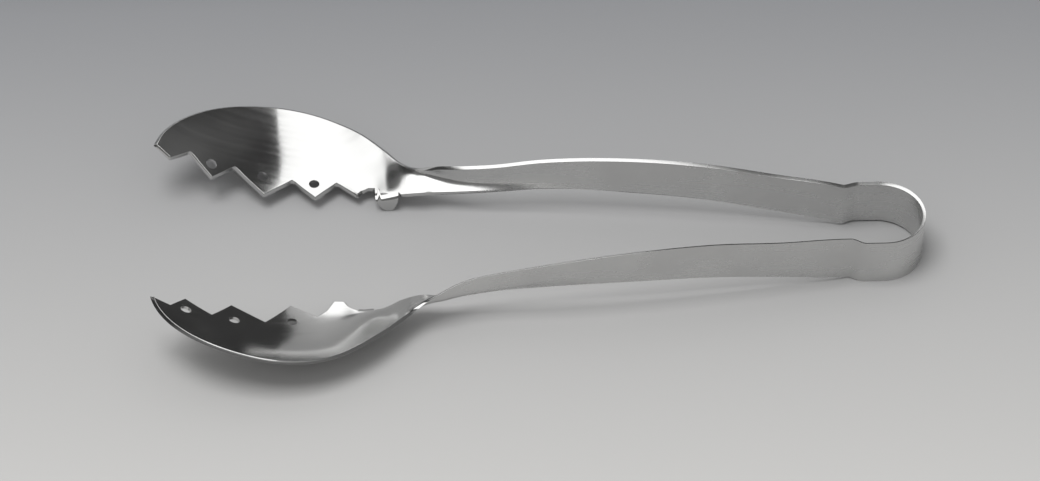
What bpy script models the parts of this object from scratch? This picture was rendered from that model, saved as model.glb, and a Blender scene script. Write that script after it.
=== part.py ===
"""Spaghetti tongs at life size, in metres, with +Z up.

The tongs are one strip of stainless steel sheet. It stands on edge round the bow and along both handles,
turns flat at the necks, and ends in two dished heads whose teeth stand half a pitch apart, so that they
interlock when closed. The tongs lie on a table, on the lower edge of the bow and on the feet of two tabs
bent down behind the heads.

+X points to the bow and -X to the mouth. The left arm is at -Y and the right arm at +Y. The strip is
modelled as the stretches that a maker would name, with a narrow seam between them. The origin is on the
table, under the middle of the tongs' bounding box.
"""

import math
from collections import namedtuple

import bmesh
import bpy
import numpy as np
from mathutils import Vector
from mathutils.geometry import delaunay_2d_cdt

MM = 0.001

# Sheet and the seams between its named stretches
SHEET = 1.0 * MM
SEAM = 0.3 * MM

# Bow: a half circle, two straight cheeks, and a joggle that sets each handle inwards at its waist
BOW_RADIUS = 13.2 * MM
BOW_HEIGHT = 16.8 * MM
CROWN_HALF_ANGLE = math.radians(59)
CHEEK_LENGTH = 6.2 * MM
JOGGLE_LENGTH = 5.0 * MM
JOGGLE_STEP = 1.6 * MM

# Lengths along the tongs: waist to handle's end, on to the heel of the head, and on to the end of its rim
HANDLE_LENGTH = 111.0 * MM
NECK_LENGTH = 31.0 * MM
HEAD_LENGTH = 75.1 * MM

# Where the seams lie, after the handle's end and before the heel
TWIST_START = 8.5 * MM
HEAD_OVERLAP = 4.6 * MM

# The strip's section at stations along it. A run is a percentage of the length of its own stretch, a side
# is how far an edge stands outside the waist, and a height is above the table, in millimetres. The low edge
# becomes the toothed inner edge of the head, and the top edge its rim. The rim sizes below give the sides
# marked None. Between its edges the section bends round a corner, which lies at the share "fold" of the way
# from the low edge to the top one and "sag" millimetres outside the line between them. The larger "pull"
# is, from 0 to 1, the tighter the section bends round that corner.
Station = namedtuple("Station", "run top_side top_height low_side low_height fold sag pull")
HANDLE_STATIONS = (
    Station(0, 0.0, 17.3, 0.1, 0.7, 0.5, 0, 0.75),
    Station(2.25, 0.4, 17.7, 0.6, 1.1, 0.5, 0, 0.75),
    Station(19.8, 3.3, 19.5, 2.9, 4.2, 0.5, 0, 0.75),
    Station(37.8, 5.8, 21.8, 5.2, 7.0, 0.3, 0, 0.8),
    Station(60.4, 8.8, 22.2, 7.8, 8.6, 0.2, 0, 0.9),
    Station(85.6, 11.3, 20.0, 9.5, 9.0, 0.37, 0.95, 0.9),
)
NECK_STATIONS = (
    Station(0, 12.0, 17.4, 9.8, 7.95, 0.3, 1.85, 1.0),
    Station(32.3, 13.4, 15.75, 10.25, 7.15, 0.39, 2.55, 1.0),
    Station(54.8, 15.85, 13.6, 10.8, 6.5, 0.61, 2.45, 1.0),
    Station(74.2, 18.2, 10.95, 10.4, 6.65, 0.81, 1.05, 1.0),
    Station(88.7, 21.85, 9.7, 10.85, 5.95, 0.57, 0, 0.66),
)
HEAD_STATIONS = (
    Station(2.7, 27.7, 10.25, 12.0, 5.25, 0.1, 1.6, 0.6),
    Station(10.7, 33.3, 11.15, 12.7, 4.15, 0.11, 1.8, 0.8),
    Station(24.0, 40.0, 11.6, 11.7, 4.6, 0.39, 3.25, 0.8),
    Station(48.0, None, 14.1, 11.7, 4.9, 0.57, 3.0, 0.8),
    Station(75.9, None, 18.0, 15.5, 10.5, 0.46, 0.5, 0.8),
    Station(99.9, None, 20.6, None, 20.2, 0.35, 0, 0.8),
)

# Head rim beyond its widest place, which is a percentage of the head's length: a quarter of an ellipse,
# with half its width, how far from its axis the tip is cut off, and how far the tip's inner corner stands
# inside the cut
WIDEST_PLACE = 48.0
WIDEST_SIDE = 44.4 * MM
RIM_HALF_WIDTH = 26.3 * MM
TIP_INSET = 3.3 * MM
TIP_WIDTH = 2.5 * MM

# Holes pierced above the teeth
HOLE_DIAMETER = 3.2 * MM

# What differs between the heads. Places along the head are percentages of its length, and the rest is in
# millimetres. Teeth and tail are the corners of the inner edge before and behind the tab, as a place and
# how far the corner stands outside the section's low edge: a tooth's point is near 0 and a valley is 5 to
# 8 mm deep. A hole's centre is given in the same way. A tab spans its width from its start, and is bent
# down between its root and its flap.
Head = namedtuple("Head", "teeth tail holes tab")
Tab = namedtuple("Tab", "start width root_side flap_side bend_drop")

# The left row ends in a blunt tooth, and its tab stands just behind that
LEFT_HEAD = Head(
    teeth=(
        (92.4, 5.0), (86.6, 0.0), (75.8, 6.4), (68.0, 0.0), (54.1, 8.3), (43.7, 0.0), (32.6, 5.3),
        (29.2, 3.0), (25.8, -1.5), (21.0, -1.7), (19.3, 0.1), (16.0, 1.6),
    ),
    tail=((8.4, 1.3), (5.1, 1.4), (1.9, 0.9), (-1.3, 0.3)),
    holes=((85.9, 6.5), (66.5, 8.8), (42.8, 8.5)),
    tab=Tab(start=8.9, width=6.7, root_side=14.7, flap_side=12.9, bend_drop=1.8),
)

# The right row ends in a small tooth and a notch, which the left tab enters when the tongs close
RIGHT_HEAD = Head(
    teeth=(
        (93.2, 0.0), (85.2, 5.8), (76.3, 0.0), (66.6, 7.1), (54.3, 0.0), (42.2, 7.3), (32.6, 0.0),
        (23.3, 6.0), (14.6, 0.2), (12.9, 1.9), (9.9, 2.9), (7.9, 2.6),
    ),
    tail=((-3.4, 0.1),),
    holes=((76.4, 5.2), (54.9, 7.4), (33.0, 6.4)),
    tab=Tab(start=-2.8, width=10.1, root_side=12.3, flap_side=10.8, bend_drop=1.6),
)

# The tabs' feet: how far a flap is set in from the root's ends, the share of the tab's width at which its
# foot stands, and the width and rounding of the foot
FLAP_INSET = 1.2 * MM
FOOT_PLACE = 0.42
FOOT_WIDTH = 1.0 * MM
FOOT_RADIUS = 0.8 * MM

# Distance between the surface points whose difference gives a normal
PROBE = 0.1 * MM

# Where a point of the plan is looked for across its section, and how closely it is found
ACROSS_LIMITS = (-0.4, 1.2)
ACROSS_ERROR = 1e-9

# How finely the stretches are divided
ARC_STEP = math.radians(7)
STRIP_STEP = 3.5 * MM
NECK_STEP = 1.5 * MM
HANDLE_COLUMNS = 6
NECK_COLUMNS = 8
OUTLINE_STEP = 2.6 * MM
LATTICE_STEP = 3.0 * MM
HOLE_SIDES = 14
TAB_COLUMNS = 6
BEND_ROWS = 5
FOOT_ROWS = 4

# Steel finishes: brushed on the handles and bow, polished on the heads
BRUSHED_COLOUR = (0.46, 0.46, 0.47, 1.0)
BRUSHED_ROUGHNESS = 0.32
POLISHED_COLOUR = (0.56, 0.56, 0.57, 1.0)
POLISHED_ROUGHNESS = 0.16

# Places that follow from the sizes above
WAIST_SIDE = BOW_RADIUS - JOGGLE_STEP
HEEL_RUN = HANDLE_LENGTH + NECK_LENGTH
WIDEST_RUN = HEAD_LENGTH * WIDEST_PLACE / 100
RIM_REACH = HEAD_LENGTH - WIDEST_RUN
RIM_END_ANGLE = math.acos(TIP_INSET / RIM_HALF_WIDTH)
TIP_LOW_SIDE = WIDEST_SIDE - RIM_HALF_WIDTH + TIP_INSET - TIP_WIDTH
TIP_RUN = HEEL_RUN + WIDEST_RUN + RIM_REACH * math.sin(RIM_END_ANGLE)
WAIST_FROM_BOW = CHEEK_LENGTH + JOGGLE_LENGTH
BOW_X = (WAIST_FROM_BOW + TIP_RUN - BOW_RADIUS - SHEET / 2) / 2
WAIST_X = BOW_X - WAIST_FROM_BOW
HANDLE_SEAM = HANDLE_LENGTH + TWIST_START
HEAD_SEAM = HEEL_RUN - HEAD_OVERLAP

# Each arm turns about the elastic centre of its half of the bow: the centroid of a quarter circle and a
# cheek
HALF_BOW_LENGTH = math.pi / 2 * BOW_RADIUS + CHEEK_LENGTH
PIVOT_X = BOW_X + (BOW_RADIUS**2 - CHEEK_LENGTH**2 / 2) / HALF_BOW_LENGTH
PIVOT_SIDE = (BOW_RADIUS**2 + CHEEK_LENGTH * BOW_RADIUS) / HALF_BOW_LENGTH

LEFT = -1
RIGHT = 1


def rim_side(run):
    """How far the rim stands outside the waist beyond the head's widest place."""
    t = min(1.0, (run - HEEL_RUN - WIDEST_RUN) / RIM_REACH)
    return WIDEST_SIDE - RIM_HALF_WIDTH * (1 - math.sqrt(1 - t * t))


def all_stations():
    """Every station with its run measured from the waist, in metres."""
    stretches = (
        (0.0, HANDLE_LENGTH, HANDLE_STATIONS),
        (HANDLE_LENGTH, NECK_LENGTH, NECK_STATIONS),
        (HEEL_RUN, HEAD_LENGTH, HEAD_STATIONS),
    )
    rows = []
    for start, length, stations in stretches:
        for station in stations:
            run = start + station.run / 100 * length
            top_side = rim_side(run) if station.top_side is None else station.top_side * MM
            low_side = TIP_LOW_SIDE if station.low_side is None else station.low_side * MM
            heights = (station.top_height * MM, station.low_height * MM)
            bend = (station.fold, station.sag * MM, station.pull)
            rows.append((run, top_side, heights[0], low_side, heights[1], *bend))
    return np.array(rows)


STATIONS = all_stations()
RUNS = STATIONS[:, 0]
VALUES = STATIONS[:, 1:]
SLOPES = np.gradient(VALUES, RUNS, axis=0)


def section_at(run):
    """The section at a distance from the waist, on a smooth curve through the stations, in metres."""
    index = int(np.clip(np.searchsorted(RUNS, run) - 1, 0, len(RUNS) - 2))
    span = RUNS[index + 1] - RUNS[index]
    t = (run - RUNS[index]) / span
    values = (
        (2 * t**3 - 3 * t**2 + 1) * VALUES[index]
        + (t**3 - 2 * t**2 + t) * span * SLOPES[index]
        + (3 * t**2 - 2 * t**3) * VALUES[index + 1]
        + (t**3 - t**2) * span * SLOPES[index + 1]
    )
    if run > HEEL_RUN + WIDEST_RUN:
        values[0] = rim_side(run)
    return Station(run, WAIST_SIDE + values[0], values[1], WAIST_SIDE + values[2], *values[3:])


def section_curve(at):
    """The section's curve as four control points (side, height), from the low edge to the top edge."""
    low = Vector((at.low_side, at.low_height))
    top = Vector((at.top_side, at.top_height))
    chord = top - low
    outwards = Vector((chord.y, -chord.x)).normalized()
    corner = low + chord * at.fold + outwards * at.sag
    return low, low.lerp(corner, at.pull), top.lerp(corner, at.pull), top


def on_curve(curve, across):
    """A point of a section's curve."""
    a, b = 1 - across, across
    return curve[0] * a**3 + curve[1] * (3 * a * a * b) + curve[2] * (3 * a * b * b) + curve[3] * b**3


def strip_point(run, across):
    """A point on the middle of the right arm's sheet, at a share of the way up from the low edge."""
    spot = on_curve(section_curve(section_at(run)), across)
    return Vector((WAIST_X - run, spot.x, spot.y))


def head_point(from_heel, side):
    """A point on the middle of the sheet of the right head, by its place in plan."""
    curve = section_curve(section_at(HEEL_RUN + from_heel))
    low, high = ACROSS_LIMITS
    while high - low > ACROSS_ERROR:
        middle = (low + high) / 2
        if on_curve(curve, middle).x < side:
            low = middle
        else:
            high = middle
    return strip_point(HEEL_RUN + from_heel, (low + high) / 2)


def arc_point(angle, across):
    """A point on the bow's half circle, with the angle measured from the crown towards the right arm."""
    side = BOW_RADIUS * math.sin(angle)
    return Vector((BOW_X + BOW_RADIUS * math.cos(angle), side, across * BOW_HEIGHT))


def cheek_point(from_bow, across):
    """A point on the right cheek or joggle, by its distance from the bow's centre towards the waist."""
    t = max(0.0, (from_bow - CHEEK_LENGTH) / JOGGLE_LENGTH)
    blend = t * t * (3 - 2 * t)
    waist = strip_point(0.0, across)
    side = BOW_RADIUS + blend * (waist.y - BOW_RADIUS)
    height = across * BOW_HEIGHT
    return Vector((BOW_X - from_bow, side, height + blend * (waist.z - height)))


def bow_side_point(length, across):
    """A point on the right side of the bow, by its length along the strip from the quarter circle's end."""
    if length < 0:
        return arc_point(math.pi / 2 + length / BOW_RADIUS, across)
    return cheek_point(length, across)


def normal_of(surface, u, v, step_u, step_v):
    """The unit normal of a surface, from the differences between its points close to (u, v)."""
    along = surface(u + step_u, v) - surface(u - step_u, v)
    over = surface(u, v + step_v) - surface(u, v - step_v)
    return along.cross(over).normalized()


def spread(start, end, step):
    """Evenly spaced values from start to end, no further apart than step."""
    count = max(1, math.ceil(abs(end - start) / step - 1e-6))
    return [start + (end - start) * k / count for k in range(count + 1)]


def grid_faces(rows, columns):
    """The quads of a grid whose points are listed row by row."""
    faces = []
    for row in range(rows - 1):
        for column in range(columns - 1):
            first = row * columns + column
            faces.append((first, first + 1, first + columns + 1, first + columns))
    return faces


def steel(name, colour, roughness):
    material = bpy.data.materials.new(name)
    material.use_nodes = True
    shader = material.node_tree.nodes["Principled BSDF"]
    shader.inputs["Base Color"].default_value = colour
    shader.inputs["Metallic"].default_value = 1.0
    shader.inputs["Roughness"].default_value = roughness
    return material


def add_sheet(name, points, normals, faces, arm, polished=False):
    """A closed solid of the sheet's thickness round a middle surface. An arm's piece hangs on its pivot."""
    mirror = Vector((1, -1, 1)) if arm and arm.name.endswith("left") else Vector((1, 1, 1))
    origin = arm.location if arm else Vector()
    mesh = bmesh.new()
    layers = []
    for offset in (SHEET / 2, -SHEET / 2):
        places = [(point + normal * offset) * mirror - origin for point, normal in zip(points, normals)]
        layers.append([mesh.verts.new(place) for place in places])
    front, back = layers
    sides = {(face[k - 1], face[k]) for face in faces for k in range(len(face))}
    for face in faces:
        mesh.faces.new([front[k] for k in face])
        mesh.faces.new([back[k] for k in reversed(face)])
    for start, end in sorted(sides):
        if (end, start) not in sides:
            mesh.faces.new((front[end], front[start], back[start], back[end]))
    bmesh.ops.recalc_face_normals(mesh, faces=mesh.faces)
    data = bpy.data.meshes.new(name)
    mesh.to_mesh(data)
    mesh.free()
    data.shade_smooth()
    data.set_sharp_from_angle(angle=math.radians(35))
    if polished:
        data.materials.append(steel(f"{name}_steel", POLISHED_COLOUR, POLISHED_ROUGHNESS))
    else:
        data.materials.append(steel(f"{name}_steel", BRUSHED_COLOUR, BRUSHED_ROUGHNESS))
    piece = bpy.data.objects.new(name, data)
    piece.parent = arm
    bpy.context.scene.collection.objects.link(piece)


def add_strip(name, surface, stops, columns, arm, step_u):
    """A stretch of the strip: a grid of points on a surface, with the given stops along it."""
    points = []
    normals = []
    for stop in stops:
        for column in range(columns + 1):
            across = column / columns
            points.append(surface(stop, across))
            normals.append(normal_of(surface, stop, across, step_u, 0.01))
    add_sheet(name, points, normals, grid_faces(len(stops), columns + 1), arm)


def add_crown():
    """The middle of the bow's half circle, which keeps still while the arms flex."""
    end = CROWN_HALF_ANGLE - SEAM / 2 / BOW_RADIUS
    add_strip("bow_crown", arc_point, spread(-end, end, ARC_STEP), 1, None, 0.01)


def add_bow_side(arm, side_name):
    """The rest of the half circle, the cheek and the joggle down to the waist."""
    start = (CROWN_HALF_ANGLE - math.pi / 2) * BOW_RADIUS + SEAM / 2
    stops = spread(start, 0.0, ARC_STEP * BOW_RADIUS)
    stops += spread(0.0, CHEEK_LENGTH, CHEEK_LENGTH)[1:]
    stops += spread(CHEEK_LENGTH, WAIST_FROM_BOW - SEAM / 2, JOGGLE_LENGTH / 6)[1:]
    add_strip(f"bow_side_{side_name}", bow_side_point, stops, 1, arm, PROBE)


def add_handle(arm, side_name):
    stops = spread(SEAM / 2, HANDLE_SEAM - SEAM / 2, STRIP_STEP)
    add_strip(f"handle_{side_name}", strip_point, stops, HANDLE_COLUMNS, arm, PROBE)


def add_neck(arm, side_name):
    stops = spread(HANDLE_SEAM + SEAM / 2, HEAD_SEAM - SEAM / 2, NECK_STEP)
    add_strip(f"neck_{side_name}", strip_point, stops, NECK_COLUMNS, arm, PROBE)


def along_head(place):
    """The distance from the heel of a place along the head."""
    return place / 100 * HEAD_LENGTH


def edge_corner(place, depth):
    """A corner of the head's inner edge in plan, from its place and its depth in millimetres."""
    from_heel = along_head(place)
    return from_heel, section_at(HEEL_RUN + from_heel).low_side + depth * MM


def head_outline(head):
    """The head in plan, as corners (distance from the heel, side): rim, tip, teeth, tab root and tail."""
    start = HEAD_SEAM + SEAM / 2 - HEEL_RUN
    outline = []
    for from_heel in spread(start, WIDEST_RUN, OUTLINE_STEP)[:-1]:
        outline.append((from_heel, section_at(HEEL_RUN + from_heel).top_side))
    for angle in spread(0.0, RIM_END_ANGLE, OUTLINE_STEP / RIM_REACH):
        from_heel = WIDEST_RUN + RIM_REACH * math.sin(angle)
        outline.append((from_heel, WAIST_SIDE + rim_side(HEEL_RUN + from_heel)))
    outline += [edge_corner(*corner) for corner in head.teeth]
    root_side = WAIST_SIDE + head.tab.root_side * MM
    outline.append((along_head(head.tab.start + head.tab.width), root_side))
    outline.append((along_head(head.tab.start), root_side))
    outline += [edge_corner(*corner) for corner in head.tail]
    outline.append((start, section_at(HEAD_SEAM).low_side))
    return outline


def divided(outline):
    """The closed outline with its long edges divided."""
    points = []
    for start, end in zip(outline, outline[1:] + outline[:1]):
        start, end = Vector(start), Vector(end)
        for t in spread(0.0, 1.0, OUTLINE_STEP / (end - start).length)[:-1]:
            points.append(start.lerp(end, t))
    return points


def hole_rings(holes):
    """Each pierced hole in plan, as its centre and the points round it."""
    rings = []
    for hole in holes:
        centre = Vector(edge_corner(*hole))
        ring = []
        for k in range(HOLE_SIDES):
            angle = 2 * math.pi * k / HOLE_SIDES
            ring.append(centre + Vector((math.cos(angle), math.sin(angle))) * HOLE_DIAMETER / 2)
        rings.append((centre, ring))
    return rings


def inside(point, outline):
    """Whether a point of the plan lies within the closed outline."""
    crossings = 0
    for start, end in zip(outline, outline[1:] + outline[:1]):
        if (start.y > point.y) != (end.y > point.y):
            slant = (end.x - start.x) / (end.y - start.y)
            crossings += point.x < start.x + (point.y - start.y) * slant
    return crossings % 2 == 1


def lattice(outline, rings):
    """Points spread evenly through the head's plan, clear of its edge and holes."""
    edges = outline + [point for _, ring in rings for point in ring]
    low = Vector((min(point.x for point in outline), min(point.y for point in outline)))
    high = Vector((max(point.x for point in outline), max(point.y for point in outline)))
    points = []
    for row, side in enumerate(spread(low.y, high.y, LATTICE_STEP * math.sin(math.pi / 3))):
        shift = LATTICE_STEP / 2 * (row % 2)
        for from_heel in spread(low.x, high.x, LATTICE_STEP):
            point = Vector((from_heel + shift, side))
            clear = min((point - edge).length for edge in edges) > OUTLINE_STEP * 0.6
            in_hole = any((point - centre).length < HOLE_DIAMETER / 2 for centre, _ in rings)
            if clear and not in_hole and inside(point, outline):
                points.append(point)
    return points


def loop_edges(first, count):
    return [(first + k, first + (k + 1) % count) for k in range(count)]


def add_scoop(arm, side_name, head):
    """The dished head: its plan is triangulated, and each point is lifted to the dished surface."""
    outline = divided(head_outline(head))
    rings = hole_rings(head.holes)
    plan = list(outline)
    edges = loop_edges(0, len(outline))
    for _, ring in rings:
        edges += loop_edges(len(plan), len(ring))
        plan += ring
    plan += lattice(outline, rings)
    plan, _, faces, *_ = delaunay_2d_cdt(plan, edges, [], 1, 1e-7)
    solid_faces = []
    for face in faces:
        middle = sum((plan[k] for k in face), Vector((0, 0))) / len(face)
        if all((middle - centre).length > HOLE_DIAMETER / 2 for centre, _ in rings):
            solid_faces.append(tuple(face))
    points = [head_point(point.x, point.y) for point in plan]
    normals = [normal_of(head_point, point.x, point.y, PROBE, PROBE) for point in plan]
    add_sheet(f"scoop_{side_name}", points, normals, solid_faces, arm, polished=True)


def tab_span(tab, height, top):
    """The ends of the tab at a height of its flap: straight sides that draw in to a rounded foot."""
    start, end = along_head(tab.start), along_head(tab.start + tab.width)
    middle = start + (end - start) * FOOT_PLACE
    t = min(1.0, height / top)
    foot = (middle - FOOT_WIDTH / 2, middle + FOOT_WIDTH / 2)
    low = foot[0] + t * (start + FLAP_INSET - foot[0])
    high = foot[1] + t * (end - FLAP_INSET - foot[1])
    rise = min(1.0, height / FOOT_RADIUS)
    bulge = math.sqrt(1 - (1 - rise) ** 2) * FOOT_RADIUS
    return max(low - bulge, start), min(high + bulge, end)


def add_tab(arm, side_name, tab):
    """The foot: it leaves the head's inner edge, bends straight down and ends on the table."""
    root_side = WAIST_SIDE + tab.root_side * MM
    flap_side = WAIST_SIDE + tab.flap_side * MM
    middle = along_head(tab.start + tab.width / 2)
    step = head_point(middle, root_side + SEAM) - head_point(middle, root_side)
    slope = step.z / step.y
    flap_top = head_point(middle, root_side).z - tab.bend_drop * MM

    def tab_point(row, column):
        """Rows 0 to 1 run round the bend, and rows 1 to 2 down the flap."""
        height = flap_top * (2 - max(row, 1.0))
        low, high = tab_span(tab, height, flap_top)
        end = Vector((low + column * (high - low), flap_side, height))
        if row < 1:
            from_heel = along_head(tab.start + column * tab.width)
            root_height = head_point(from_heel, root_side).z
            start = Vector((from_heel, root_side - SEAM, root_height - slope * SEAM))
            corner = Vector((from_heel, flap_side, start.z - slope * (start.y - flap_side)))
            end = start.lerp(corner, row).lerp(corner.lerp(end, row), row)
        return Vector((WAIST_X - HEEL_RUN - end.x, end.y, end.z))

    foot_share = FOOT_RADIUS / flap_top
    rows = spread(0.0, 1.0, 1 / BEND_ROWS)
    for k in range(FOOT_ROWS + 1):
        rows.append(2 - foot_share * (1 - math.sin(math.pi / 2 * k / FOOT_ROWS)))
    points = []
    normals = []
    for row in rows:
        for column in range(TAB_COLUMNS + 1):
            points.append(tab_point(row, column / TAB_COLUMNS))
            if row < 1:
                normals.append(normal_of(tab_point, row, column / TAB_COLUMNS, 0.001, 0.001))
            else:
                normals.append(Vector((0, 1, 0)))
    faces = grid_faces(len(rows), TAB_COLUMNS + 1)
    add_sheet(f"rest_tab_{side_name}", points, normals, faces, arm, polished=True)


def add_arm(side, side_name, head):
    """One arm on its pivot. The left arm is the right one mirrored, with its own teeth, holes and tab."""
    pivot = bpy.data.objects.new(f"pivot_{side_name}", None)
    pivot.location = (PIVOT_X, side * PIVOT_SIDE, BOW_HEIGHT / 2)
    bpy.context.scene.collection.objects.link(pivot)
    add_bow_side(pivot, side_name)
    add_handle(pivot, side_name)
    add_neck(pivot, side_name)
    add_scoop(pivot, side_name, head)
    add_tab(pivot, side_name, head.tab)


for old in list(bpy.data.objects):
    bpy.data.objects.remove(old, do_unlink=True)

add_crown()
add_arm(LEFT, "left", LEFT_HEAD)
add_arm(RIGHT, "right", RIGHT_HEAD)
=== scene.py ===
"""Looks for the spaghetti tongs: one strip of stainless steel sheet, lying on a grey studio table.

The script builds the sheet's middle surface along the strip, gives it the sheet's thickness and its cut
edges, and cuts it into four pieces that meet without a step: a sprung strip and a toothed head for each arm.
Every length is in metres in the CAD frame, with +X towards the bow and +Z up.
"""

import math
from collections import namedtuple

import bpy
import numpy as np
from mathutils import Matrix, Vector
from mathutils.geometry import delaunay_2d_cdt


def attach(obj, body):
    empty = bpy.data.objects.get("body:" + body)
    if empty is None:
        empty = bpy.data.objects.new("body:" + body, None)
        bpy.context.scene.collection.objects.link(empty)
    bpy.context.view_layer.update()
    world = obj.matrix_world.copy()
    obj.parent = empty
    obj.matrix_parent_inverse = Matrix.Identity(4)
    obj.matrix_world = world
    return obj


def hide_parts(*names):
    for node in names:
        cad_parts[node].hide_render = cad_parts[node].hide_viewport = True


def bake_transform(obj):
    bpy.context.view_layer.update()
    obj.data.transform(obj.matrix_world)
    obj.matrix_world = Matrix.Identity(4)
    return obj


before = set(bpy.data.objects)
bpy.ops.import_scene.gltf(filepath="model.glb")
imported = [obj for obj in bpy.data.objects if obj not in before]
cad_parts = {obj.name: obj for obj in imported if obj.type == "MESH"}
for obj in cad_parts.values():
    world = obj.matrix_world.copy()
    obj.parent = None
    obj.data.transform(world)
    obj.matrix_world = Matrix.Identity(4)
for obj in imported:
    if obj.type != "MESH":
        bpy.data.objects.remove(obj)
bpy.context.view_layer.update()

# Bow.
# The strip's middle, rolled on edge round a former into the spring that opens the tongs. It is a half
# circle with two straight cheeks, and a joggle on each side that sets the handle inwards at the waist.
MM = 0.001
SHEET = 1.0 * MM
BOW_RADIUS = 13.2 * MM
BOW_HEIGHT = 16.8 * MM
CHEEK_LENGTH = 6.2 * MM
JOGGLE_LENGTH = 5.0 * MM
JOGGLE_STEP = 1.6 * MM
WAIST_FROM_BOW = CHEEK_LENGTH + JOGGLE_LENGTH
WAIST_SIDE = BOW_RADIUS - JOGGLE_STEP

HANDLE_LENGTH = 111.0 * MM
NECK_LENGTH = 31.0 * MM
HEAD_LENGTH = 75.1 * MM
HEAD_OVERLAP = 4.6 * MM
WIDEST_PLACE = 48.0
WIDEST_SIDE = 44.4 * MM
RIM_HALF_WIDTH = 26.3 * MM
TIP_INSET = 3.3 * MM
TIP_WIDTH = 2.5 * MM
HEEL_RUN = HANDLE_LENGTH + NECK_LENGTH
WIDEST_RUN = HEAD_LENGTH * WIDEST_PLACE / 100
RIM_REACH = HEAD_LENGTH - WIDEST_RUN
RIM_END_ANGLE = math.acos(TIP_INSET / RIM_HALF_WIDTH)
TIP_LOW_SIDE = WIDEST_SIDE - RIM_HALF_WIDTH + TIP_INSET - TIP_WIDTH
TIP_RUN = HEEL_RUN + WIDEST_RUN + RIM_REACH * math.sin(RIM_END_ANGLE)
BOW_X = (WAIST_FROM_BOW + TIP_RUN - BOW_RADIUS - SHEET / 2) / 2
WAIST_X = BOW_X - WAIST_FROM_BOW
HEAD_SEAM = HEEL_RUN - HEAD_OVERLAP

# Handles and necks.
# The strip on edge, pressed to a gentle S, which turns flat over the necks. A station gives the strip's two
# edges: the run is a percentage of its stretch, and sides outside the waist and heights are millimetres. The
# section bows out by the sag at the fold, a share of its width. The pull is how sharply it turns there.
Station = namedtuple("Station", "run top_side top_height low_side low_height fold sag pull")
HANDLE_STATIONS = (
    Station(0, 0.0, 17.3, 0.1, 0.7, 0.5, 0, 0.75),
    Station(2.25, 0.4, 17.7, 0.6, 1.1, 0.5, 0, 0.75),
    Station(19.8, 3.3, 19.5, 2.9, 4.2, 0.5, 0, 0.75),
    Station(37.8, 5.8, 21.8, 5.2, 7.0, 0.3, 0, 0.8),
    Station(60.4, 8.8, 22.2, 7.8, 8.6, 0.2, 0, 0.9),
    Station(85.6, 11.3, 20.0, 9.5, 9.0, 0.37, 0.95, 0.9),
)
NECK_STATIONS = (
    Station(0, 12.0, 17.4, 9.8, 7.95, 0.3, 1.85, 1.0),
    Station(32.3, 13.4, 15.75, 10.25, 7.15, 0.39, 2.55, 1.0),
    Station(54.8, 15.85, 13.6, 10.8, 6.5, 0.61, 2.45, 1.0),
    Station(74.2, 18.2, 10.95, 10.4, 6.65, 0.81, 1.05, 1.0),
    Station(88.7, 21.85, 9.7, 10.85, 5.95, 0.57, 0, 0.66),
)
HEAD_STATIONS = (
    Station(2.7, 27.7, 10.25, 12.0, 5.25, 0.1, 1.6, 0.6),
    Station(10.7, 33.3, 11.15, 12.7, 4.15, 0.11, 1.8, 0.8),
    Station(24.0, 40.0, 11.6, 11.7, 4.6, 0.39, 3.25, 0.8),
    Station(48.0, None, 14.1, 11.7, 4.9, 0.57, 3.0, 0.8),
    Station(75.9, None, 18.0, 15.5, 10.5, 0.46, 0.5, 0.8),
    Station(99.9, None, 20.6, None, 20.2, 0.35, 0, 0.8),
)


def rim_side(run):
    """How far the rim stands outside the waist beyond the head's widest place."""
    t = min(1.0, (run - HEEL_RUN - WIDEST_RUN) / RIM_REACH)
    return WIDEST_SIDE - RIM_HALF_WIDTH * (1 - math.sqrt(1 - t * t))


def all_stations():
    """Every station with its run measured from the waist, in metres."""
    stretches = (
        (0.0, HANDLE_LENGTH, HANDLE_STATIONS),
        (HANDLE_LENGTH, NECK_LENGTH, NECK_STATIONS),
        (HEEL_RUN, HEAD_LENGTH, HEAD_STATIONS),
    )
    rows = []
    for start, length, stations in stretches:
        for station in stations:
            run = start + station.run / 100 * length
            top_side = rim_side(run) if station.top_side is None else station.top_side * MM
            low_side = TIP_LOW_SIDE if station.low_side is None else station.low_side * MM
            heights = (station.top_height * MM, station.low_height * MM)
            bend = (station.fold, station.sag * MM, station.pull)
            rows.append((run, top_side, heights[0], low_side, heights[1], *bend))
    return np.array(rows)


STATIONS = all_stations()
RUNS = STATIONS[:, 0]
VALUES = STATIONS[:, 1:]
SLOPES = np.gradient(VALUES, RUNS, axis=0)


def section_at(run):
    """The section at a distance from the waist, on a smooth curve through the stations, in metres."""
    index = int(np.clip(np.searchsorted(RUNS, run) - 1, 0, len(RUNS) - 2))
    span = RUNS[index + 1] - RUNS[index]
    t = (run - RUNS[index]) / span
    values = (
        (2 * t**3 - 3 * t**2 + 1) * VALUES[index]
        + (t**3 - 2 * t**2 + t) * span * SLOPES[index]
        + (3 * t**2 - 2 * t**3) * VALUES[index + 1]
        + (t**3 - t**2) * span * SLOPES[index + 1]
    )
    if run > HEEL_RUN + WIDEST_RUN:
        values[0] = rim_side(run)
    return Station(run, WAIST_SIDE + values[0], values[1], WAIST_SIDE + values[2], *values[3:])


def section_curve(at):
    """The section's curve as four control points (side, height), from the low edge to the top edge."""
    low = Vector((at.low_side, at.low_height))
    top = Vector((at.top_side, at.top_height))
    chord = top - low
    outwards = Vector((chord.y, -chord.x)).normalized()
    corner = low + chord * at.fold + outwards * at.sag
    return low, low.lerp(corner, at.pull), top.lerp(corner, at.pull), top


def on_curve(curve, across):
    """A point of a section's curve."""
    a, b = 1 - across, across
    return curve[0] * a**3 + curve[1] * (3 * a * a * b) + curve[2] * (3 * a * b * b) + curve[3] * b**3


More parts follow.
